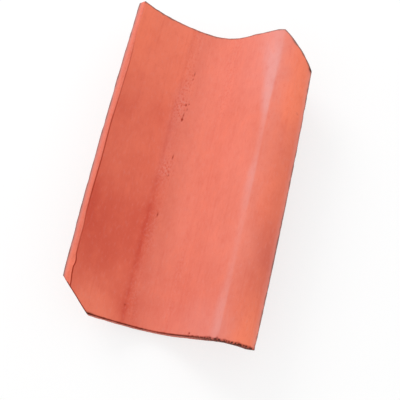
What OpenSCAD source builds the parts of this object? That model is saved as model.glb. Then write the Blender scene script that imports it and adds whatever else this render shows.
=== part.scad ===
// Clay pantile: an S-shaped single-lap roof tile, pressed from one piece of clay and fired.
// It lies as it would on a level floor, on the nib under its head and the belly of its foot.
// X runs across the tile, Y from the foot to the head, Z up. All sizes are in millimetres.

/* [Tile] */
// Length from the foot end to the head end
tile_length = 400; // [300:5:450]
// Thickness of the clay
thickness = 13.5; // [10:0.5:16]
// Bevel along the arrises of the two long edges
arris = 1.5; // [0.5:0.1:3]

/* [Cross-section] */
// Radius of the broad wing on the left, on its upper face
wing_radius = 175; // [120:1:240]
// Slope of the wing at its upturned lip, in degrees
lip_slope = 47.5; // [40:0.5:60]
// Slope where the wing runs into the channel, in degrees
wing_slope = 14.18; // [5:0.01:25]
// Radius of the channel, on its upper face
channel_radius = 52; // [45:1:80]
// Slope of the flat flank between the channel and the roll, in degrees
flank_slope = 42; // [35:0.01:50]
// Width of the flat flank, up its slope
flank_width = 50; // [30:0.5:60]
// Radius of the roll on the right, on its upper face
roll_radius = 38; // [30:0.5:60]
// Slope of the roll at its free edge, in degrees
edge_slope = 60; // [45:1:85]

/* [Clipped corners] */
// Width of the clip at the foot, on the lip side
foot_clip_across = 37; // [25:0.5:55]
// Length of the clip at the foot, on the lip side
foot_clip_along = 36.5; // [25:0.5:55]
// Width of the clip at the head, on the roll side
head_clip_across = 43.5; // [25:0.5:55]
// Length of the clip at the head, on the roll side
head_clip_along = 41.5; // [25:0.5:55]

/* [Nib] */
// Distance from the head end to the face that hooks on the batten
nib_setback = 35; // [30:1:60]
// Drop of the nib below the channel
nib_drop = 14; // [8:0.5:20]
// Width of the nib at its root, across the tile
nib_width = 52; // [40:1:60]
// Narrowing of the nib on each side, from root to tip
nib_draft = 5; // [2:0.5:8]
// Length of the nib at its root, along the tile
nib_root = 18; // [14:1:22]
// Length of the nib at its tip, along the tile
nib_tip = 11; // [6:1:13]
// Offset of the nib's middle from the lowest line of the channel, towards the roll
nib_offset = 15; // [8:1:18]

/* [Hidden] */
$fn = 96;
reach = 2 * (wing_radius + thickness);
function polar(r, a) = r * [cos(a), sin(a)];

// Centres of the channel, the wing and the roll, from the lowest line of the channel's underside
channel_centre = [0, channel_radius + thickness];
wing_centre = channel_centre + polar(wing_radius - channel_radius, 90 - wing_slope);
roll_centre = channel_centre
    + polar(flank_width, flank_slope)
    + polar(channel_radius + roll_radius, flank_slope - 90);

// Outermost corners of the section, where its two long edges end
lip_corner = wing_centre + polar(wing_radius + thickness, -90 - lip_slope);
edge_corner = roll_centre + polar(roll_radius, 90 - edge_slope);

// Extent of the section, with these corners bevelled
left_end = lip_corner[0] + arris * min(sin(lip_slope), cos(lip_slope));
right_end = edge_corner[0] - arris * min(sin(edge_slope), cos(edge_slope));
crest = roll_centre[1] + roll_radius;

// Height to which the nib reaches up into the clay
nib_top = channel_radius / 2;

// Rest: the tile tips up about its foot until the nib stands on the floor
batten_face = tile_length - nib_setback;
tip_up = atan(nib_drop / batten_face);
foot_y = -crest * sin(tip_up);
head_y = tile_length * cos(tip_up);

// Half-plane on the right of a line through the origin
module right_of(turn) {
    rotate(turn)
        translate([0, -reach])
            square([reach, 2 * reach]);
}

// Half-plane on the left of a line through the origin
module left_of(turn) {
    rotate(turn)
        translate([-reach, -reach])
            square([reach, 2 * reach]);
}

// Part of a ring, right of one line through its centre and left of another
module arc(inner, outer, from, to) {
    intersection() {
        difference() {
            circle(outer);
            circle(inner);
        }
        right_of(from);
        left_of(to);
    }
}

// All that lies beyond a bevel across one corner of a long edge
module bevel(corner, outward) {
    translate([0, corner])
        rotate(outward)
            translate([-arris / sqrt(2), -2 * arris])
                square(4 * arris);
}

// Upturned wing, in the frame of its joint with the channel
module wing() {
    turn = wing_slope - lip_slope;
    translate([0, wing_radius - channel_radius])
        difference() {
            arc(wing_radius, wing_radius + thickness, turn, 0);
            rotate(turn) {
                bevel(-wing_radius, 135);
                bevel(-wing_radius - thickness, 225);
            }
        }
}

// Channel, from the wing round to the flank
module channel() {
    arc(channel_radius, channel_radius + thickness, -wing_slope - flank_slope, 0);
}

// Flat flank between the channel and the roll
module flank() {
    translate([0, -channel_radius - thickness])
        square([flank_width, thickness]);
}

// Roll, from the flank over to its free edge
module roll() {
    turn = -flank_slope - edge_slope;
    translate([flank_width, -channel_radius - roll_radius])
        difference() {
            arc(roll_radius - thickness, roll_radius, 0, turn);
            rotate(turn) {
                bevel(roll_radius, 45);
                bevel(roll_radius - thickness, -45);
            }
        }
}

// S-shaped section, set out from the centre of the channel, each part tangent to the next
module section() {
    translate(channel_centre)
        rotate(flank_slope) {
            rotate(-wing_slope - flank_slope)
                wing();
            channel();
            flank();
            roll();
        }
}

// Slanting cut that takes off one corner of the tile
module clip(across, along) {
    translate([0, 0, -reach])
        linear_extrude(2 * reach)
            polygon([[1.5 * across, -0.5 * along], [-0.5 * across, 1.5 * along], [-across, -along]]);
}

// Side view of the nib: upright towards the batten, sloping at the back
module nib_side() {
    back = (nib_root - nib_tip) / nib_drop;
    polygon([
        [0, nib_top],
        [0, -nib_drop],
        [nib_tip, -nib_drop],
        [nib_root + back * nib_top, nib_top]
    ]);
}

// End view of the nib: narrower at its tip than at its root
module nib_end() {
    tip = nib_width / 2 - nib_draft;
    top = nib_width / 2 + nib_top * nib_draft / nib_drop;
    polygon([
        [-top, nib_top],
        [-tip, -nib_drop],
        [tip, -nib_drop],
        [top, nib_top]
    ]);
}

// Hanging nib under the head, let into the underside of the channel
module nib() {
    difference() {
        intersection() {
            translate([nib_offset - nib_width, batten_face, 0])
                rotate([90, 0, 90])
                    linear_extrude(2 * nib_width)
                        nib_side();
            translate([nib_offset, tile_length, 0])
                rotate([90, 0, 0])
                    linear_extrude(tile_length)
                        nib_end();
        }
        translate([0, tile_length + 1, channel_centre[1]])
            rotate([90, 0, 0])
                cylinder(h = tile_length + 2, r = channel_radius + thickness / 2);
    }
}

// The whole fired tile
module tile() {
    color([0.80, 0.38, 0.28])
        translate([-(left_end + right_end) / 2, -(foot_y + head_y) / 2, 0])
            rotate([tip_up, 0, 0]) {
                difference() {
                    translate([0, tile_length, 0])
                        rotate([90, 0, 0])
                            linear_extrude(tile_length)
                                section();
                    translate([left_end, 0, 0])
                        clip(foot_clip_across, foot_clip_along);
                    translate([right_end, tile_length, 0])
                        rotate(180)
                            clip(head_clip_across, head_clip_along);
                }
                nib();
            }
}

tile();
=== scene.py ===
"""Looks of a clay pantile: its worn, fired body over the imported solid, with floor, light and camera.

The body is worked out on a flat sheet, in metres: arc length across its upper face from the lip,
length from the foot, and depth below the upper face. The sheet is then bent to the S section and
laid on the floor.
"""

import bpy
import numpy as np
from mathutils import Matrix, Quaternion, Vector


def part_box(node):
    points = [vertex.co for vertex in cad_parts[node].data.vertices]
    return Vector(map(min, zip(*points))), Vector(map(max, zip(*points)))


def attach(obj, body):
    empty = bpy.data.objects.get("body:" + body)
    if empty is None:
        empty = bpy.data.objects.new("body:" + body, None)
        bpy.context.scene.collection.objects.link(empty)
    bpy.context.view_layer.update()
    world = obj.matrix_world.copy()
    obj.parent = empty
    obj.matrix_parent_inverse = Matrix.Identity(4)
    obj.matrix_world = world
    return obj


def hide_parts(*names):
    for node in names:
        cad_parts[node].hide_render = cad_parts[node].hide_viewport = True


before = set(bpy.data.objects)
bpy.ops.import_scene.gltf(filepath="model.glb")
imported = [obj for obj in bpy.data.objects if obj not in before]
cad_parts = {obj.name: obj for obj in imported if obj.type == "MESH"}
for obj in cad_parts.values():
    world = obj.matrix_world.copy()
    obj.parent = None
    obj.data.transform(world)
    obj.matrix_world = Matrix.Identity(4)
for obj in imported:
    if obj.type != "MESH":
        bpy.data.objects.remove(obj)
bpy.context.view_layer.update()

# Sizes of the tile, as the solid has them
TILE_LENGTH = 0.400
THICKNESS = 0.0135
WING_RADIUS = 0.175
CHANNEL_RADIUS = 0.052
FLANK_WIDTH = 0.050
ROLL_RADIUS = 0.038
LIP_SLOPE = np.radians(-47.5)
WING_SLOPE = np.radians(-14.18)
FLANK_SLOPE = np.radians(42)
EDGE_SLOPE = np.radians(-60)
FOOT_CLIP_ACROSS = 0.037
FOOT_CLIP_ALONG = 0.0365
HEAD_CLIP_ACROSS = 0.0435
HEAD_CLIP_ALONG = 0.0415
BATTEN_FACE = 0.365
NIB_DROP = 0.014
NIB_MIDDLE = 0.015
NIB_HALF_WIDTH = 0.026
NIB_DRAFT = 0.005
NIB_ROOT = 0.018
NIB_TIP = 0.011
# Share of its width by which each end has drawn in
DRAWN_IN = 0.021

# Upper face from the lip to the roll's free edge: wing, channel, flank and roll
BENDS = [
    WING_RADIUS * (WING_SLOPE - LIP_SLOPE),
    CHANNEL_RADIUS * (FLANK_SLOPE - WING_SLOPE),
    FLANK_WIDTH,
    ROLL_RADIUS * (FLANK_SLOPE - EDGE_SLOPE),
]
JOINTS = np.concatenate([[0], np.cumsum(BENDS)])
SLOPES = [LIP_SLOPE, WING_SLOPE, FLANK_SLOPE, FLANK_SLOPE, EDGE_SLOPE]
FACE_WIDTH = JOINTS[-1]
# Steps in which the section is added up
SECTION_STEPS = 4000

# Mesh of the body: rounding of its arrises and the grid lines round them, grid pitch, zones that take the
# fine pitch, and steps down the cut faces
ARRIS = 0.0012
ARRIS_STEPS = np.array([0, 0.59]) * ARRIS
PITCH = 0.0020
FINE_PITCH = 0.0007
FINE_ACROSS = [(0, 0.007), (0.080, 0.0995)]
FINE_ALONG = [(0, 0.007), (0.396, 0.400)]
EDGE_STEPS = 5
# The nib's upright face leans by this much, over this many grid lines
BATTEN_DRAFT = 0.0006
BATTEN_STEPS = 8

# Random relief, each layer as its height and its cell size across and along
UPPER_RELIEF = [(0.0005, 0.09, 0.15), (0.00004, 0.004, 0.10), (0.00003, 0.0025, 0.02)]
UNDER_RELIEF = [(0.0005, 0.06, 0.10), (0.00012, 0.005, 0.20), (0.00010, 0.003, 0.004)]
CUT_RELIEF = [(0.00025, 0.008, 0.005), (0.00012, 0.003, 0.003)]
BAND_RELIEF = [(0.00012, 0.0022, 0.0042)]
FOOT_TEETH = [(0.0022, 0.0035, 0.02), (0.0011, 0.0016, 0.02)]
# Wander of the borders of the kiln's marks, in the same way
DRIFT = [(0.010, 0.03, 0.03), (0.005, 0.008, 0.02)]
# Spare cells below zero, for places that the relief has pushed past the sheet's sides
SPARE_CELLS = 8
# Seeds of these
UPPER_SEED = 10
BAND_SEED = 20
TEETH_SEED = 41
DRIFT_SEED = 51
UNDER_SEED = 60
END_SEED = 70
SIDE_SEED = 80
# Random patches: seed, cell size across and along, middle value, swing
GROOVE_PATCHES = (30, 0.02, 0.03, 0.6, 0.4)
SCRAPE_PATCHES = (31, 0.02, 0.05, 0.5, 0.5)
UNDER_LIP_PATCHES = (43, 0.05, 0.01, 1, 0.2)
HEAD_PATCHES = (44, 0.005, 0.02, 1, 0.7)
EDGE_PATCHES = (45, 0.02, 0.006, 1, 0.7)
MOTTLE = (46, 0.007, 0.009, 0, 1)
BLOOM_PATCHES = (53, 0.05, 0.02, 1, 0.15)
DARK_PATCHES = (55, 0.01, 0.012, 0.5, 0.7)
SOOT_PATCHES = (56, 0.006, 0.02, 0.55, 0.35)
RIM_PATCHES = (57, 0.004, 0.005, 1, 0.4)
SPECKLES = (58, 0.0022, 0.0050, 0.5, 0.8)

# Drag marks along the upper face: place from the lip, half width, and depth or height
GROOVE = 0.0825
GROOVE_WIDTH = 0.0022
GROOVE_DEPTH = 0.00022
BAND = 0.0885
BAND_WIDTH = 0.0090
SCRAPE = 0.139
SCRAPE_WIDTH = 0.0014
SCRAPE_DEPTH = 0.00010
RIDGE = 0.2175
RIDGE_WIDTH = 0.005
RIDGE_HEIGHT = 0.0003
# Pits, each with a grid line through it: place from the lip, length from the foot, half width,
# half length, depth
PITS = [
    (0.0962, 0.3375, 0.0006, 0.0030, 0.0004),
    (0.0958, 0.3300, 0.0006, 0.0012, 0.0004),
    (0.0986, 0.2945, 0.0006, 0.0010, 0.0005),
    (0.0950, 0.2922, 0.0008, 0.0013, 0.0007),
    (0.0978, 0.2865, 0.0006, 0.0012, 0.0004),
    (0.0950, 0.2775, 0.0006, 0.0026, 0.0005),
    (0.0946, 0.2715, 0.0010, 0.0019, 0.0010),
    (0.0948, 0.2185, 0.0007, 0.0028, 0.0005),
    (0.0948, 0.1938, 0.0007, 0.0012, 0.0004),
    (0.0935, 0.1408, 0.0007, 0.0026, 0.0005),
    (0.2562, 0.2915, 0.0011, 0.0011, 0.0003),
    (0.0812, 0.0232, 0.0009, 0.0012, 0.0004),
]
# One more at the foot, where the grid is fine without such a line
FOOT_PIT = (0.1750, 0.0040, 0.0010, 0.0010, 0.0008)
# Depth from which a pit is wholly dark with painted shade
DARK_PIT = 0.0005

# Worn arrises: width gone from each
FOOT_WEAR = 0.0005
HEAD_WEAR = 0.0008
EDGE_WEAR = 0.0010
UNDER_LIP_WEAR = 0.0022
# Seam where the lip's arris has broken away, with painted shade in it: length from the foot, distance from
# the lip, darkness of the painted shade
LIP_SEAM = [
    (0.028, 0.0058, 1.0),
    (0.038, 0.0040, 1.0),
    (0.046, 0.0034, 1.0),
    (0.051, 0.0048, 1.0),
    (0.055, 0.0048, 1.0),
    (0.061, 0.0030, 0.8),
    (0.080, 0.0024, 0.5),
    (0.096, 0.0027, 0.5),
    (0.112, 0.0012, 0.5),
    (0.140, 0.0012, 0.9),
    (0.180, 0.0020, 0.9),
    (0.230, 0.0012, 0.8),
    (0.264, 0.0025, 0.5),
    (0.312, 0.0034, 0.5),
    (0.330, 0.0027, 0.3),
    (0.350, 0.0015, 0.0),
]

# Places from the lip where the foot begins to crumble and where it is wholly crumbly
CRUMBLY = (0.160, 0.215)
# At the foot, first where it is whole and then where it is crumbly: share of the teeth, reach and
# darkness of the painted shade line along its arris, grime with painted shade and bloom on its face, and
# share of the crumbs
TEETH_SHARE = (0.2, 1)
FOOT_REACH = (0.00156, 0.0026)
FOOT_DARK = (0.85, 0.55)
FOOT_GRIME_AND_SHADE = (0.15, 0.50)
FOOT_BLOOM = (0.4, 0)
CRUMBS_SHARE = (0.2, 1)
# Distance from the foot over which the crumbs thin out
CRUMBS_END = (0.0005, 0.0030)
# Soot on the whole part of the foot's arris: distances over which it thins out
SOOT_END = (0.0006, 0.0018)
# Corner between the foot and its clip: place from the lip, half width and gain of the painted shade line
# there, and half width, strength and thinning out of the soot there
FOOT_CORNER = 0.040
CORNER_LINE_WIDTH = 0.008
CORNER_LINE_GAIN = 0.15
CORNER_SOOT_WIDTH = 0.005
CORNER_SOOT = 0.6
CORNER_SOOT_END = (0.0010, 0.0040)
# Painted shade at the corner between the head's clip and the roll's edge: columns as for the clouds below
CORNER_SHADE = (0.266, 0.3582, 0.0036, 0.0028, 1.6)

# Dark lines of painted shade in the lip's seam and along the foot's arris: reach, darkness, and how far
# the mottle sways it
SEAM_REACH = 0.0014
SEAM_DARK = 0.95
SEAM_SWAY = 0.05
FOOT_SWAY = 0.1
# Dark lines along the other arrises, in the same way: dust under the arrises, and painted shade along the
# head and the roll's edge
RIM_REACH = 0.0026
UNDER_FOOT_DARK = 0.5
UNDER_FOOT_SWAY = 0.4
# The one under the lip darkens over these heights above the under face
UNDER_LIP_DARK = (0.25, 0.70)
UNDER_LIP_RISE = (0.0006, 0.0022)
UNDER_LIP_SWAY = 0.3
# Those along the head and the roll's edge reach further by these factors, the head's most on its clip
HEAD_REACH = (1.2, 2.0)
HEAD_CLIP_START = (0.215, 0.235)
HEAD_DARK = 0.95
HEAD_SWAY = 0.15
EDGE_REACH = 1.8
EDGE_DARK = 0.80
EDGE_SWAY = 0.15
# The head's line is fainter round the channel: place from the lip, half width, share lost
HEAD_FAINT = (0.12, 0.07, 0.20)
# The lines along the head and the roll's edge are this much narrower on the cut faces
CUT_NARROWING = 2
# Share of a line's reach up to which it is at its darkest
LINE_CORE = 0.3

# Kiln marks, with painted light and shade: length from the foot, flash on the wing, partly the lip's
# painted shadow, flash on the roll's side, amber on the roll's side, partly painted light
FIRING_AND_PAINTED_LIGHT = [
    (0.000, 0.00, 0.00, 1.00),
    (0.012, 0.05, 0.00, 1.00),
    (0.028, 0.38, 0.00, 0.85),
    (0.045, 0.50, 0.15, 0.75),
    (0.070, 0.72, 0.25, 0.45),
    (0.095, 0.78, 0.45, 0.10),
    (0.120, 0.80, 0.42, 0.10),
    (0.145, 0.74, 0.32, 0.35),
    (0.172, 0.50, 0.25, 0.55),
    (0.202, 0.38, 0.20, 0.65),
    (0.232, 0.33, 0.28, 0.55),
    (0.262, 0.34, 0.22, 0.65),
    (0.290, 0.20, 0.05, 0.95),
    (0.320, 0.08, 0.00, 1.00),
    (0.400, 0.00, 0.00, 0.80),
]
# Places from the lip where the wing's marks end and the roll's side begins
WING_END = (0.080, 0.104)
SIDE_START = (0.218, 0.254)
# Share of the drift that the wing's border and the granular band take
WING_DRIFT = 0.3
BAND_DRIFT = 0.2
# Lengths from the foot over which the marks near the foot fade and those near the head come in
FOOT_FADE = (0.015, 0.055)
HEAD_RISE = (0.27, 0.35)

# Dark clouds, and pale ones below zero: place from the lip, length from the foot, half width,
# half length, strength
CLOUDS = [
    (0.004, 0.118, 0.012, 0.022, 0.18),
    (0.010, 0.252, 0.012, 0.018, 0.16),
    (0.018, 0.300, 0.009, 0.010, 0.12),
    (0.026, 0.352, 0.010, 0.012, 0.14),
    (0.060, 0.258, 0.020, 0.012, 0.08),
    (0.045, 0.215, 0.012, 0.010, -0.08),
    (0.034, 0.185, 0.010, 0.012, -0.10),
]
# Dark in the channel near the foot: strength, and lengths over which it fades
CHANNEL_FLASH = 0.20
CHANNEL_FADE = (0.015, 0.14)
# Dark near the foot and near the head: place from the lip, half width, strength
FOOT_SHADE = (0.084, 0.016, 0.50)
HEAD_SHADE = (0.195, 0.030, 0.07)
# Dark in the groove: place, half width, least strength, more in patches and in speckles, and less up the
# tile by this much over these lengths
GROOVE_DARK = 0.0820
GROOVE_DARK_WIDTH = 0.0035
GROOVE_DARK_LEAST = 0.08
GROOVE_DARK_PATCHES = 0.12
GROOVE_DARK_SPECKLES = 0.20
GROOVE_DARK_LOSS = 0.06
GROOVE_DARK_FADE = (0.20, 0.25)
# Dark in the scrape: half width, strength
SCRAPE_DARK_WIDTH = 0.002
SCRAPE_DARK = 0.18

# Pale bloom left of the ridge on the roll, partly a painted highlight on the roll's shoulder: length from
# the foot, width, strength
BLOOM_AND_HIGHLIGHT = [
    (0.000, 0.0095, 0.36),
    (0.028, 0.0100, 0.46),
    (0.045, 0.0090, 0.48),
    (0.070, 0.0060, 0.30),
    (0.120, 0.0055, 0.20),
    (0.145, 0.0060, 0.25),
    (0.172, 0.0075, 0.45),
    (0.202, 0.0085, 0.62),
    (0.232, 0.0060, 0.28),
    (0.262, 0.0060, 0.32),
    (0.280, 0.0065, 0.60),
    (0.290, 0.0085, 0.88),
    (0.315, 0.0140, 0.95),
    (0.340, 0.0165, 0.85),
    (0.365, 0.0210, 0.70),
    (0.385, 0.0260, 0.40),
]
# It grows over these shares of its width left of the ridge, and ends over these distances from the ridge
BLOOM_RISE = (-1.6, -0.3)
BLOOM_END = (-0.001, 0.0025)
# Its end blurs by this much over these lengths from the foot
BLOOM_BLUR = 0.004
BLOOM_BLUR_RISE = (0.30, 0.36)
# Thin bloom on the flank: places over which it grows and ends, strength, and more near the foot and head
FLANK_START = (0.11, 0.20)
FLANK_END = (RIDGE, 0.245)
FLANK_BLOOM = 0.06
FLANK_BLOOM_ENDS = 0.20
# Painted light along the roll's edge: strength, and places over which it grows
EDGE_LIGHT = 0.4
EDGE_LIGHT_RISE = (0.258, 0.266)
# Bloom in the drag marks: place, half width, strength, and lengths over which it grows and ends
BAND_BLOOM = (0.085, 0.008, 0.14)
BAND_BLOOM_RISE = (0.17, 0.20)
BAND_BLOOM_END = (0.30, 0.34)
# Amber on the wing, and amber with painted light by the lip near the head: strength, and places over which
# it ends
WING_AMBER = 0.5
WING_AMBER_END = (0.065, 0.110)
LIP_AMBER_AND_LIGHT = 0.35
LIP_AMBER_END = (0.005, 0.055)

# Granular spots along the band of drag marks: length from the foot, half length, strength
ROUGH_SPOTS = [
    (0.035, 0.020, 0.3),
    (0.120, 0.025, 0.4),
    (0.200, 0.014, 1.0),
    (0.286, 0.015, 1.0),
    (0.325, 0.025, 0.5),
]
# How granular the whole band is
BAND_ROUGH = 0.25
# Granular by the scrape, towards the head and towards the foot: place, half width, strength, and lengths
# over which it comes in or ends
HEAD_ROUGH = (0.145, 0.010, 0.35)
HEAD_ROUGH_RISE = (0.25, 0.32)
FOOT_ROUGH = (0.137, 0.004, 0.35)
FOOT_ROUGH_END = (0.09, 0.14)

# Marks on the cut faces and the underside, with the amber near the foot and its fading over these lengths
CUT_FLASH = 0.35
CUT_ROUGH = 0.3
CUT_BLOOM = 0.05
CUT_AMBER = (0.75, 0.15)
CUT_AMBER_FADE = (0.055, 0.075)
# Distances from the lip's seam over which the upper face's marks begin
FACE_START = (-0.0005, 0.0001)
# The lip's face turns dusty pink with depth: its end from the lip, depths, bloom and grime
LIP_FACE_END = (0.0005, 0.0040)
LIP_FADE = (0.0030, 0.0115)
LIP_BLOOM = 0.8
LIP_GRIME = 0.32


def waves(seed, across, along, cell_across, cell_along):
    """Smooth random waves from -1 to 1 over a sheet, with the given cell size across and along it."""
    u = across / cell_across + SPARE_CELLS
    v = along / cell_along + SPARE_CELLS
    column = np.floor(u).astype(int)
    row = np.floor(v).astype(int)
    heights = np.random.default_rng(seed).uniform(-1, 1, (column.max() + 2, row.max() + 2))
    u = u - column
    v = v - row
    u = u * u * (3 - 2 * u)
    v = v * v * (3 - 2 * v)
    near = heights[column, row] * (1 - v) + heights[column, row + 1] * v
    far = heights[column + 1, row] * (1 - v) + heights[column + 1, row + 1] * v
    return near * (1 - u) + far * u


def relief(seed, layers, across, along):
    """Layers of random waves, added up."""
    return sum(
        height * waves(seed + layer, across, along, cell_across, cell_along)
        for layer, (height, cell_across, cell_along) in enumerate(layers)
    )


def patches(across, along, seed, cell_across, cell_along, middle, swing):
    """Values that sway at random round a middle."""
    return middle + swing * waves(seed, across, along, cell_across, cell_along)


def bell(x, middle, width):
    """A smooth hump of height 1 round a middle."""
    return np.exp(-(((x - middle) / width) ** 2))


def ramp(x, start, end):
    """Goes smoothly from 0 at the start to 1 at the end."""
    t = np.clip((x - start) / (end - start), 0, 1)
    return t * t * (3 - 2 * t)


def between(ends, share):
    """A value that goes from one end to the other with a share."""
    return ends[0] + (ends[1] - ends[0]) * share


def streak(x, middle, half_width, strength):
    """A soft streak along or across the tile."""
    return strength * bell(x, middle, half_width)


def spot(across, length, place, middle, half_width, half_length, strength):
    """A soft spot on the sheet."""
    return strength * bell(across, place, half_width) * bell(length, middle, half_length)


def section(across):
    """Place, height and slope of the upper face at each arc length from the lip."""
    length = np.linspace(0, FACE_WIDTH, SECTION_STEPS + 1)
    slope = np.interp(length, JOINTS, SLOPES)
    middle = (slope[1:] + slope[:-1]) / 2
    step = np.diff(length)
    place = np.concatenate([[0], np.cumsum(np.cos(middle) * step)])
    height = np.concatenate([[0], np.cumsum(np.sin(middle) * step)])
    lowest = np.argmin(height)
    place -= place[lowest]
    height += THICKNESS - height[lowest]
    return [np.interp(across, length, row) for row in (place, height, slope)]


def grid_lines(length, zones, extra=()):
    """Grid lines over a length: round each arris, then at the pitch, or the fine pitch in its zones."""
    stops = {ARRIS, length - ARRIS}
    stops.update(stop for zone in zones for stop in zone if ARRIS < stop < length - ARRIS)
    stops = sorted(stops)
    lines = [ARRIS_STEPS, length - ARRIS_STEPS]
    for start, end in zip(stops, stops[1:]):
        fine = any(low <= (start + end) / 2 <= high for low, high in zones)
        steps = round((end - start) / (FINE_PITCH if fine else PITCH))
        lines.append(np.linspace(start, end, max(steps, 1) + 1))
    lines = np.unique(np.concatenate(lines).round(7))
    if len(extra):
        lines = lines[np.abs(lines[:, None] - extra).min(1) > FINE_PITCH]
    return np.sort(np.concatenate([lines, extra]))


def slab():
    """Points of the flat sheet with rounded arrises, their outward normals, and quads over six sides."""
    batten = BATTEN_FACE + BATTEN_DRAFT * np.linspace(-1, 1, BATTEN_STEPS)
    through_pits = [pit[1] for pit in PITS]
    depth = np.linspace(ARRIS, THICKNESS - ARRIS, EDGE_STEPS + 1)
    lines = [
        grid_lines(FACE_WIDTH, FINE_ACROSS),
        grid_lines(TILE_LENGTH, FINE_ALONG, np.concatenate([batten, through_pits])),
        np.concatenate([ARRIS_STEPS, depth, THICKNESS - ARRIS_STEPS[::-1]]),
    ]
    size = [len(line) for line in lines]
    inside = np.zeros(size, bool)
    inside[1:-1, 1:-1, 1:-1] = True
    number = np.cumsum(~inside).reshape(size) - 1
    sides = [
        number[:, :, 0],
        number[::-1, :, -1],
        number[0],
        number[-1, ::-1],
        number[::-1, 0],
        number[:, -1],
    ]
    quads = []
    for side in sides:
        corners = [side[:-1, :-1], side[1:, :-1], side[1:, 1:], side[:-1, 1:]]
        quads.append(np.stack(corners, -1).reshape(-1, 4))
    points = np.stack(np.meshgrid(*lines, indexing="ij"), -1)[~inside]
    core = np.clip(points, ARRIS, np.array([FACE_WIDTH, TILE_LENGTH, THICKNESS]) - ARRIS)
    normals = points - core
    normals /= np.linalg.norm(normals, axis=1, keepdims=True)
    return core + ARRIS * normals, normals, np.concatenate(quads)


def pitted(across, length):
    """Depth of the pits at each place on the upper face."""
    return np.max([spot(across, length, *pit) for pit in PITS + [FOOT_PIT]], axis=0)


def upper_face(across, length):
    """Relief of the upper face: slow waves, drag marks, a ridge on the roll's shoulder, and pits."""
    height = relief(UPPER_SEED, UPPER_RELIEF, across, length)
    height += bell(across, BAND, BAND_WIDTH) * relief(BAND_SEED, BAND_RELIEF, across, length)
    groove = streak(across, GROOVE, GROOVE_WIDTH, GROOVE_DEPTH)
    scrape = streak(across, SCRAPE, SCRAPE_WIDTH, SCRAPE_DEPTH)
    height -= groove * patches(across, length, *GROOVE_PATCHES)
    height -= scrape * patches(across, length, *SCRAPE_PATCHES)
    height += RIDGE_HEIGHT * np.exp(-np.abs(across - RIDGE) / RIDGE_WIDTH)
    return height - pitted(across, length)


def lip_seam(length):
    """Distance of the dark seam from the lip, and its darkness, at each length from the foot."""
    lengths, place, dark = np.transpose(LIP_SEAM)
    return np.interp(length, lengths, place), np.interp(length, lengths, dark)


def crumbled(across, along):
    """Width crumbled from the foot's arris, most of it under the roll."""
    teeth = np.clip(relief(TEETH_SEED, FOOT_TEETH, across, along), 0, None)
    return FOOT_WEAR + teeth * between(TEETH_SHARE, ramp(across, *CRUMBLY))


def worn(points, length):
    """Points with the arrises worn back to a slant."""
    across, along, depth = points.T
    under = THICKNESS - depth
    to_edge = FACE_WIDTH - across
    to_head = TILE_LENGTH - along
    under_lip_gone = UNDER_LIP_WEAR * patches(across, along, *UNDER_LIP_PATCHES)
    head_gone = HEAD_WEAR * patches(across, along, *HEAD_PATCHES)
    edge_gone = EDGE_WEAR * patches(across, along, *EDGE_PATCHES)
    # Each arris: distance from its side, that side's axis and way inward, distance from its upper or under
    # face, that face's way inward, and the width gone
    arrises = [
        (along, 1, 1, depth, 1, crumbled(across, along)),
        (across, 0, 1, depth, 1, lip_seam(length)[0]),
        (across, 0, 1, under, -1, under_lip_gone),
        (to_head, 1, -1, depth, 1, head_gone),
        (to_edge, 0, -1, depth, 1, edge_gone),
    ]
    moved = points.copy()
    for inset, axis, inward, level, sunk, gone in arrises:
        back = np.clip(gone - inset - level, 0, None) / 2
        moved[:, axis] += inward * back
        moved[:, 2] += sunk * back
    return moved


def nearest(lines):
    """Distance to the nearest of some lines, as a share of its reach, and how dark that line is."""
    shares = np.array([gap / reach for gap, reach, dark in lines])
    darks = np.array([dark for gap, reach, dark in lines])
    first = shares.argmin(0)[None]
    return np.take_along_axis(shares, first, 0)[0], np.take_along_axis(darks, first, 0)[0]


def shade_lines(points, length):
    """The dark lines of painted shade in the lip's seam and along the foot's arris."""
    across, along, depth = points.T
    mottle = patches(across, length, *MOTTLE)
    crumbly = ramp(across, *CRUMBLY)
    seam, seam_dark = lip_seam(length)
    foot_gap = np.clip(along + depth - crumbled(across, along), 0, None)
    foot_dark = between(FOOT_DARK, crumbly) + FOOT_SWAY * mottle
    foot_dark += streak(across, FOOT_CORNER, CORNER_LINE_WIDTH, CORNER_LINE_GAIN)
    return nearest([
        (np.abs(across - seam) + depth, SEAM_REACH, seam_dark * (SEAM_DARK + SEAM_SWAY * mottle)),
        (foot_gap, between(FOOT_REACH, crumbly), foot_dark),
    ])


def dust_and_shade_lines(points, length):
    """The dark lines along the under arrises of the foot and the lip, which are dust, and along the head
    and the roll's edge, which are painted shade.
    """
    across, along, depth = points.T
    under = THICKNESS - depth
    to_edge = FACE_WIDTH - across
    to_head = TILE_LENGTH - along
    mottle = patches(across, length, *MOTTLE)
    reach = RIM_REACH * patches(across, length, *RIM_PATCHES)
    lip_gap = np.clip(across + under - UNDER_LIP_WEAR, 0, None)
    lip_dark = between(UNDER_LIP_DARK, ramp(under, *UNDER_LIP_RISE)) * (1 + UNDER_LIP_SWAY * mottle)
    head_reach = reach * between(HEAD_REACH, ramp(across, *HEAD_CLIP_START))
    head_dark = HEAD_DARK - streak(across, *HEAD_FAINT) + HEAD_SWAY * mottle
    return nearest([
        (along + under, reach, UNDER_FOOT_DARK + UNDER_FOOT_SWAY * mottle),
        (lip_gap, reach, lip_dark),
        (to_head + CUT_NARROWING * depth, head_reach, head_dark),
        (to_edge + CUT_NARROWING * depth, reach * EDGE_REACH, EDGE_DARK + EDGE_SWAY * mottle),
    ])


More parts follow.
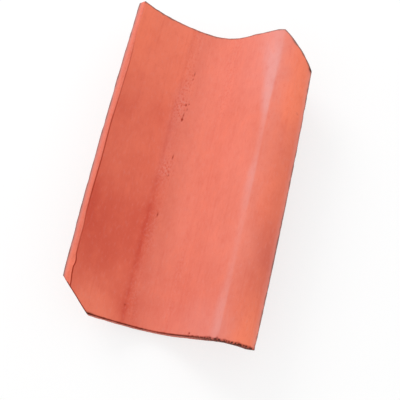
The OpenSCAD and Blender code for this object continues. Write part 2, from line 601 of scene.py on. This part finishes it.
def unrolled(points):
    """Place across, true length from the foot, and height, of the sheet bent with its corners clipped."""
    across, along, depth = points.T
    place, height, slope = section(across)
    x = place + depth * np.sin(slope)
    left = section(0.0)[0] + THICKNESS * np.sin(LIP_SLOPE)
    right = section(FACE_WIDTH)[0]
    foot = FOOT_CLIP_ALONG * np.clip(1 - (x - left) / FOOT_CLIP_ACROSS, 0, None)
    head = HEAD_CLIP_ALONG * np.clip(1 - (right - x) / HEAD_CLIP_ACROSS, 0, None)
    share = np.clip((along - ARRIS) / (TILE_LENGTH - 2 * ARRIS), 0, 1)
    y = along + foot * (1 - share) - head * share
    from_middle = 2 * y / TILE_LENGTH - 1
    return x * (1 - DRAWN_IN * from_middle**2), y, height - depth * np.cos(slope)


def bent(points):
    """The sheet bent to the S section, clipped, and with its nib drawn down, in the tile's frame."""
    x, y, z = unrolled(points)
    nib_side = (np.abs(x - NIB_MIDDLE) - NIB_HALF_WIDTH) * NIB_DROP / NIB_DRAFT
    nib_back = (y - BATTEN_FACE - NIB_ROOT) * NIB_DROP / (NIB_ROOT - NIB_TIP)
    nib_floor = np.max([np.full_like(x, -NIB_DROP), nib_side, nib_back], axis=0)
    under = points[:, 2] > THICKNESS / 2
    hangs = under * ramp(y, BATTEN_FACE - BATTEN_DRAFT, BATTEN_FACE + BATTEN_DRAFT)
    return np.stack([x, y, z - hangs * np.clip(z - nib_floor, 0, None)], 1)


def laid(points):
    """Points of the tile's frame tipped up onto the nib and set on the floor where the solid lies."""
    x, y, z = points.T
    tip_up = np.arctan2(NIB_DROP, BATTEN_FACE)
    tipped_y = y * np.cos(tip_up) - z * np.sin(tip_up)
    tipped_z = y * np.sin(tip_up) + z * np.cos(tip_up)
    stored = np.stack([x, tipped_y, tipped_z], 1)
    low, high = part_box("tile")
    shift = np.array(low + high) / 2 - (stored.min(0) + stored.max(0)) / 2
    shift[2] = low.z - stored[:, 2].min()
    return stored + shift


def flashed_and_shadowed(across, length, drift):
    """How dark the upper face is fired, with the lip's shadow painted across the wing."""
    lengths, on_wing, on_side = np.transpose(FIRING_AND_PAINTED_LIGHT)[:3]
    # The wing's flash is partly the lip's shadow, painted on
    wing = 1 - ramp(across + WING_DRIFT * drift, *WING_END)
    side = ramp(across + drift, *SIDE_START)
    flash_and_shadow = wing * np.interp(length + drift, lengths, on_wing)
    flash_and_shadow += side * np.interp(length + drift, lengths, on_side)
    flash_and_shadow += CHANNEL_FLASH * (1 - wing) * (1 - side) * (1 - ramp(length + drift, *CHANNEL_FADE))
    flash_and_shadow += sum(spot(across + drift, length + drift, *cloud) for cloud in CLOUDS)
    flash_and_shadow += streak(across, *FOOT_SHADE) * (1 - ramp(length + drift, *FOOT_FADE))
    flash_and_shadow += streak(across, *HEAD_SHADE) * ramp(length + drift, *HEAD_RISE)
    patchy = np.clip(patches(across, length, *DARK_PATCHES), 0, 1)
    speckled = np.clip(patches(across, length, *SPECKLES), 0, 1)
    groove_dark = GROOVE_DARK_LEAST + GROOVE_DARK_PATCHES * patchy + GROOVE_DARK_SPECKLES * speckled
    groove_dark -= GROOVE_DARK_LOSS * ramp(length, *GROOVE_DARK_FADE)
    flash_and_shadow += groove_dark * bell(across, GROOVE_DARK, GROOVE_DARK_WIDTH)
    return flash_and_shadow + patchy * streak(across, SCRAPE, SCRAPE_DARK_WIDTH, SCRAPE_DARK)


def bloomed_and_lit(across, length, drift):
    """How pale the upper face is: bloom, a painted highlight left of the ridge on the roll, and painted
    light along the roll's edge.
    """
    lengths, widths, strengths = np.transpose(BLOOM_AND_HIGHLIGHT)
    width = np.interp(length, lengths, widths) * patches(across, length, *BLOOM_PATCHES)
    start, full = [RIDGE + share * width for share in BLOOM_RISE]
    fades, end = [RIDGE + distance for distance in BLOOM_END]
    end = end + BLOOM_BLUR * ramp(length, *BLOOM_BLUR_RISE)
    bloom_and_light = ramp(across, start, full) * (1 - ramp(across, fades, end))
    bloom_and_light *= np.interp(length, lengths, strengths)
    near_ends = 1 - ramp(length + drift, *FOOT_FADE) + ramp(length + drift, *HEAD_RISE)
    flank = ramp(across, *FLANK_START) * (1 - ramp(across, *FLANK_END))
    bloom_and_light += flank * (FLANK_BLOOM + FLANK_BLOOM_ENDS * near_ends)
    # Painted light along the roll's edge
    bloom_and_light += EDGE_LIGHT * ramp(across, *EDGE_LIGHT_RISE)
    along_band = ramp(length, *BAND_BLOOM_RISE) * (1 - ramp(length, *BAND_BLOOM_END))
    return bloom_and_light + streak(across, *BAND_BLOOM) * along_band


def ambered_and_lit(across, length, drift):
    """How amber the upper face is fired, with painted light on the roll's side and by the lip near the
    head.
    """
    lengths, on_side = np.transpose(FIRING_AND_PAINTED_LIGHT)[[0, 3]]
    amber_and_light = ramp(across + drift, *SIDE_START) * np.interp(length + drift, lengths, on_side)
    amber_and_light += WING_AMBER * (1 - ramp(across + drift, *WING_AMBER_END))
    # By the lip near the head: amber with painted light
    by_lip = 1 - ramp(across + drift, *LIP_AMBER_END)
    return amber_and_light + LIP_AMBER_AND_LIGHT * by_lip * ramp(length + drift, *HEAD_RISE)


def roughened(across, length, drift):
    """How granular the upper face is."""
    rough = BAND_ROUGH + sum(streak(length, *rough_spot) for rough_spot in ROUGH_SPOTS)
    rough = rough * bell(across + BAND_DRIFT * drift, BAND, BAND_WIDTH)
    rough += streak(across, *HEAD_ROUGH) * ramp(length + drift, *HEAD_ROUGH_RISE)
    return rough + streak(across, *FOOT_ROUGH) * (1 - ramp(length + drift, *FOOT_ROUGH_END))


def sooted(across, along, depth):
    """Soot along the whole part of the foot's arris, and in the corner of its clip."""
    gap = along + depth
    whole = 1 - ramp(across, *CRUMBLY)
    soot = whole * patches(across, along, *SOOT_PATCHES) * (1 - ramp(gap, *SOOT_END))
    corner = streak(across, FOOT_CORNER, CORNER_SOOT_WIDTH, CORNER_SOOT)
    return soot + corner * (1 - ramp(gap, *CORNER_SOOT_END))


def clay_marks(points, length):
    """Where the clay is dark fired, pale, amber, roughened or grimy, and where light and shade are painted
    on, over the body.
    """
    across, along, depth = points.T
    drift = relief(DRIFT_SEED, DRIFT, across, length)
    face = (1 - ramp(depth, 0, ARRIS)) * ramp(across - lip_seam(length)[0], *FACE_START)
    foot = 1 - ramp(along, 0, ARRIS)
    crumbly = ramp(across, *CRUMBLY)
    lip_fade = (1 - ramp(across, *LIP_FACE_END)) * ramp(depth, *LIP_FADE)
    cut_bloom = CUT_BLOOM + foot * between(FOOT_BLOOM, crumbly) + LIP_BLOOM * lip_fade
    cut_amber = between(CUT_AMBER, ramp(length, *CUT_AMBER_FADE))
    # Grime on the foot's and the lip's faces, with painted shade over the foot's face and at the corner of
    # the head's clip
    grime_and_shade = foot * (1 - face) * between(FOOT_GRIME_AND_SHADE, crumbly) + LIP_GRIME * lip_fade
    grime_and_shade += sooted(across, along, depth) + np.clip(spot(across, length, *CORNER_SHADE), 0, 1)
    # Dark lines of painted shade in the lip's seam and along the foot's arris
    shade_line_gap, shade_line = shade_lines(points, length)
    # Dark lines of dust under the arrises and of painted shade along the head and the roll's edge
    dust_and_shade_gap, dust_and_shade = dust_and_shade_lines(points, length)
    return {
        "flash_and_shadow": between((CUT_FLASH, flashed_and_shadowed(across, length, drift)), face),
        "bloom_and_light": between((cut_bloom, bloomed_and_lit(across, length, drift)), face),
        "amber_and_light": between((cut_amber, ambered_and_lit(across, length, drift)), face),
        "rough": between((CUT_ROUGH, roughened(across, length, drift)), face),
        # Painted shade in the pits, darker the deeper they are
        "pit_shade": face * np.clip(pitted(across, length) / DARK_PIT, 0, 1),
        "grime_and_shade": np.clip(grime_and_shade, 0, 1),
        "crumbs": (1 - ramp(along, *CRUMBS_END)) * between(CRUMBS_SHARE, crumbly),
        "shade_line_gap": shade_line_gap,
        "shade_line": shade_line,
        "dust_and_shade_gap": dust_and_shade_gap,
        "dust_and_shade": dust_and_shade,
    }


def fired_tile():
    """The tile's closed body, with its place on the sheet and its marks kept for the clay."""
    points, normals, quads = slab()
    across, along, depth = points.T
    length = unrolled(points)[1]
    sides = normals**2
    upper = sides[:, 2] * (depth < THICKNESS / 2)
    under = sides[:, 2] * (depth > THICKNESS / 2)
    height = upper * upper_face(across, length)
    height += under * relief(UNDER_SEED, UNDER_RELIEF, across, length)
    height += sides[:, 1] * relief(END_SEED, CUT_RELIEF, across, depth)
    height += sides[:, 0] * relief(SIDE_SEED, CUT_RELIEF, along, depth)
    moved = worn(points + normals * height[:, None], length)
    mesh = bpy.data.meshes.new("fired_tile")
    mesh.from_pydata(laid(bent(moved)).tolist(), [], quads.tolist())
    mesh.polygons.foreach_set("use_smooth", np.ones(len(quads), bool))
    sheet = np.stack([across, length, depth], 1)
    mesh.attributes.new("sheet", "FLOAT_VECTOR", "POINT").data.foreach_set("vector", sheet.ravel())
    for name, amount in clay_marks(points, length).items():
        mesh.attributes.new(name, "FLOAT", "POINT").data.foreach_set("value", amount)
    tile = bpy.data.objects.new("fired_tile", mesh)
    bpy.context.scene.collection.objects.link(tile)
    return tile


# Terracotta, as linear colours
CLAY = (0.758, 0.203, 0.140, 1)
CLAY_RED = (0.718, 0.185, 0.124, 1)
# Dark fired clay of the flash and dark flecks, and of the lip's painted shadow on the wing
CLAY_DARK = (0.605, 0.089, 0.053, 1)
# Pale clay of the bloom and pale flecks, and of the painted highlight and light on the roll
CLAY_PALE = (0.72, 0.290, 0.258, 1)
# Amber of the fired tint, and of painted light on the roll's side and by the lip near the head
CLAY_AMBER = (0.925, 0.226, 0.126, 1)
# Dark red-brown of the painted shade in the lip's seam, along the foot's arris and in the pits
CLAY_SHADE = (0.32, 0.020, 0.005, 1)
# Near black of grime and dark specks, and of painted shade on the foot's face and at the clip's corner
GRIME_AND_SHADE = (0.055, 0.010, 0.004, 1)
# Grey-brown of the dust under the arrises and of the painted shade along the head and the roll's edge
DUST_AND_SHADE = (0.13, 0.090, 0.080, 1)

# Noises over the sheet: stretch along the tile, scale, detail
NOISES = {
    "patches": (2, 22, 4),
    "blotches": (1.6, 85, 3),
    "streaks": (28, 240, 3),
    "flecks": (2.5, 330, 2),
    "granules": (1.4, 420, 2),
    "grain": (1, 800, 3),
}
# Sway of the flash and painted shadow by the patches and of the bloom and painted light by the streaks:
# range of the noise, range of the sway
FLASH_AND_SHADOW_SWAY = (0.3, 0.7, 0.9, 1.1)
BLOOM_AND_LIGHT_SWAY = (0.3, 0.7, 0.9, 1.1)
# Colours laid on by a noise: its name and range, the greatest share, the colour, and the mark it keeps to
PATCHES = ("patches", 0.35, 0.65, 1, CLAY_RED, None)
MOTTLES = [
    ("blotches", 0.50, 0.75, 0.16, CLAY_DARK, None),
    ("blotches", 0.50, 0.25, 0.16, CLAY_AMBER, None),
    ("streaks", 0.55, 0.75, 0.14, CLAY_DARK, None),
    ("flecks", 0.55, 0.80, 0.20, CLAY_DARK, None),
    ("flecks", 0.45, 0.20, 0.20, CLAY_PALE, None),
    ("granules", 0.52, 0.70, 0.80, CLAY_DARK, "rough"),
    ("granules", 0.48, 0.30, 0.45, CLAY_PALE, "rough"),
    ("grain", 0.62, 0.80, 0.20, GRIME_AND_SHADE, None),
]
CRUMB_SPECKS = ("granules", 0.44, 0.50, 1, GRIME_AND_SHADE, "crumbs")
# Matt surface: roughness over the range of the grain, the grain's bump, and the specular level
GRAIN_ROUGHNESS = (0.3, 0.7, 0.68, 0.85)
BUMP_STRENGTH = 0.5
BUMP_HEIGHT = 0.00015
SPECULAR_LEVEL = 0.15


def plug(tree, socket, value):
    """Sets a socket, or links it where the value is an output of another node."""
    if isinstance(value, bpy.types.NodeSocket):
        tree.links.new(value, socket)
    else:
        socket.default_value = value


def add(tree, kind, **inputs):
    """A new node with its inputs set."""
    node = tree.nodes.new(kind)
    for name, value in inputs.items():
        plug(tree, node.inputs[name.replace("_", " ")], value)
    return node


def mixed(tree, share, one, other):
    """One colour turned into another by a share."""
    mix = tree.nodes.new("ShaderNodeMix")
    mix.data_type = "RGBA"
    # The node's factor and its two colours
    for number, value in ((0, share), (6, one), (7, other)):
        plug(tree, mix.inputs[number], value)
    return mix.outputs[2]


def reckoned(tree, operation, one, other):
    """Two values put together by a math operation."""
    node = tree.nodes.new("ShaderNodeMath")
    node.operation = operation
    plug(tree, node.inputs[0], one)
    plug(tree, node.inputs[1], other)
    return node.outputs[0]


def mark(tree, name, output="Fac"):
    """A mark stored on the body."""
    node = tree.nodes.new("ShaderNodeAttribute")
    node.attribute_name = name
    return node.outputs[output]


def noise(tree, sheet, stretch, scale, detail):
    """Noise over the sheet, drawn out along the tile by a stretch."""
    drawn = add(tree, "ShaderNodeMapping", Vector=sheet, Scale=(1, 1 / stretch, 1))
    return add(tree, "ShaderNodeTexNoise", Vector=drawn.outputs[0], Scale=scale, Detail=detail).outputs[0]


def spread(tree, value, low, high, to_low, to_high):
    """A value carried from one range to another."""
    ranges = {"From_Min": low, "From_Max": high, "To_Min": to_low, "To_Max": to_high}
    return add(tree, "ShaderNodeMapRange", Value=value, **ranges).outputs[0]


def laid_on(tree, noises, colour, name, low, high, most, ink, where):
    """A colour with another laid on by a noise, and only where a mark is, if one is named."""
    share = spread(tree, noises[name], low, high, 0, most)
    if where:
        share = reckoned(tree, "MULTIPLY", mark(tree, where), share)
    return mixed(tree, share, colour, ink)


def terracotta():
    """Fired clay: mottled, streaked along the tile, speckled, with the body's marks, painted light and
    shade among them, and a fine grain.
    """
    material = bpy.data.materials.new("terracotta")
    material.use_nodes = True
    tree = material.node_tree
    shader = tree.nodes["Principled BSDF"]
    sheet = mark(tree, "sheet", "Vector")
    noises = {name: noise(tree, sheet, *shape) for name, shape in NOISES.items()}

    colour = laid_on(tree, noises, CLAY, *PATCHES)
    # Amber, partly painted light on the roll's side and by the lip near the head
    colour = mixed(tree, mark(tree, "amber_and_light"), colour, CLAY_AMBER)
    # Dark fired flash, with the lip's shadow painted across the wing
    sway = spread(tree, noises["patches"], *FLASH_AND_SHADOW_SWAY)
    colour = mixed(tree, reckoned(tree, "MULTIPLY", mark(tree, "flash_and_shadow"), sway), colour, CLAY_DARK)
    # Pale bloom, with a painted highlight on the roll's shoulder and painted light along the roll's edge
    sway = spread(tree, noises["streaks"], *BLOOM_AND_LIGHT_SWAY)
    colour = mixed(tree, reckoned(tree, "MULTIPLY", mark(tree, "bloom_and_light"), sway), colour, CLAY_PALE)
    for mottle in MOTTLES:
        colour = laid_on(tree, noises, colour, *mottle)
    # Dark lines: dust under the arrises and painted shade along the head and the roll's edge, then painted
    # shade in the lip's seam and along the foot's arris
    for name, ink in (("dust_and_shade", DUST_AND_SHADE), ("shade_line", CLAY_SHADE)):
        line = spread(tree, mark(tree, name + "_gap"), LINE_CORE, 1, 1, 0)
        colour = mixed(tree, reckoned(tree, "MULTIPLY", line, mark(tree, name)), colour, ink)
    # Painted shade in the pits
    colour = mixed(tree, mark(tree, "pit_shade"), colour, CLAY_SHADE)
    colour = laid_on(tree, noises, colour, *CRUMB_SPECKS)
    # Grime, with painted shade over the foot's face and at the corner of the head's clip
    colour = mixed(tree, mark(tree, "grime_and_shade"), colour, GRIME_AND_SHADE)
    tree.links.new(colour, shader.inputs["Base Color"])

    grain = noises["grain"]
    tree.links.new(spread(tree, grain, *GRAIN_ROUGHNESS), shader.inputs["Roughness"])
    shader.inputs["Specular IOR Level"].default_value = SPECULAR_LEVEL
    bump = add(tree, "ShaderNodeBump", Strength=BUMP_STRENGTH, Distance=BUMP_HEIGHT, Height=grain)
    tree.links.new(bump.outputs[0], shader.inputs["Normal"])
    return material


# Floor, light and camera
WHITE = (1, 1, 1, 1)
FLOOR_COLOUR = (0.92, 0.92, 0.92, 1)
FLOOR_SIZE = 8
FLOOR_SHADE = 0.3
SKY_LIGHT = 0.9
KEY_FROM = Vector((-0.59, 0.59, 0.56))
KEY_DISTANCE = 2.4
KEY_SIZE = 1.0
KEY_POWER = 24.0
CAMERA_PLACE = Vector((0.06494, -0.35530, 0.95464))
CAMERA_TARGET = Vector((0.01593, -0.03413, 0.040))
CAMERA_ROLL = np.radians(4.146)
CAMERA_LENS = 71.644


def show_white(tree, shade):
    """Share of white that rays from the camera, mirrors and glass see, leaving some for the shade."""
    ray = tree.nodes.new("ShaderNodeLightPath").outputs
    seen = reckoned(tree, "MAXIMUM", ray["Is Camera Ray"], ray["Is Glossy Ray"])
    seen = reckoned(tree, "MAXIMUM", seen, ray["Is Transmission Ray"])
    return spread(tree, seen, 0, 1, 0, 1 - shade)


def white_floor():
    """A pale floor that looks white and still takes the tile's shadow."""
    bpy.ops.mesh.primitive_plane_add(size=FLOOR_SIZE)
    floor = bpy.context.object
    floor.name = "floor"
    material = bpy.data.materials.new("floor")
    material.use_nodes = True
    tree = material.node_tree
    paper = tree.nodes["Principled BSDF"]
    paper.inputs["Base Color"].default_value = FLOOR_COLOUR
    paper.inputs["Roughness"].default_value = 1
    paper.inputs["Specular IOR Level"].default_value = 0
    white = add(tree, "ShaderNodeEmission", Color=WHITE, Strength=1)
    both = tree.nodes.new("ShaderNodeMixShader")
    tree.links.new(show_white(tree, FLOOR_SHADE), both.inputs[0])
    tree.links.new(paper.outputs[0], both.inputs[1])
    tree.links.new(white.outputs[0], both.inputs[2])
    tree.links.new(both.outputs[0], tree.nodes["Material Output"].inputs["Surface"])
    floor.data.materials.append(material)


def sky():
    """Even white light from all round, white to the camera too."""
    world = bpy.data.worlds.new("studio")
    world.use_nodes = True
    bpy.context.scene.world = world
    tree = world.node_tree
    background = tree.nodes["Background"]
    background.inputs["Color"].default_value = WHITE
    strength = spread(tree, show_white(tree, 0), 0, 1, SKY_LIGHT, 1)
    tree.links.new(strength, background.inputs["Strength"])


def key_light():
    """A square lamp that faces the tile from beyond its lip and head."""
    lamp = bpy.data.lights.new("key", "AREA")
    lamp.size = KEY_SIZE
    lamp.energy = KEY_POWER
    box = bpy.data.objects.new("key", lamp)
    box.location = KEY_FROM.normalized() * KEY_DISTANCE
    box.rotation_mode = "QUATERNION"
    box.rotation_quaternion = KEY_FROM.to_track_quat("Z", "Y")
    bpy.context.scene.collection.objects.link(box)


def camera():
    """The photograph's camera, above the foot and looking steeply down."""
    data = bpy.data.cameras.new("camera")
    data.lens = CAMERA_LENS
    view = bpy.data.objects.new("camera", data)
    view.location = CAMERA_PLACE
    back = CAMERA_PLACE - CAMERA_TARGET
    view.rotation_mode = "QUATERNION"
    view.rotation_quaternion = back.to_track_quat("Z", "Y") @ Quaternion((0, 0, 1), CAMERA_ROLL)
    bpy.context.scene.collection.objects.link(view)
    bpy.context.scene.camera = view


tile = fired_tile()
tile.data.materials.append(terracotta())
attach(tile, "root")
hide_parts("tile")
white_floor()
sky()
key_light()
camera()
bpy.context.scene.view_settings.view_transform = "Standard"
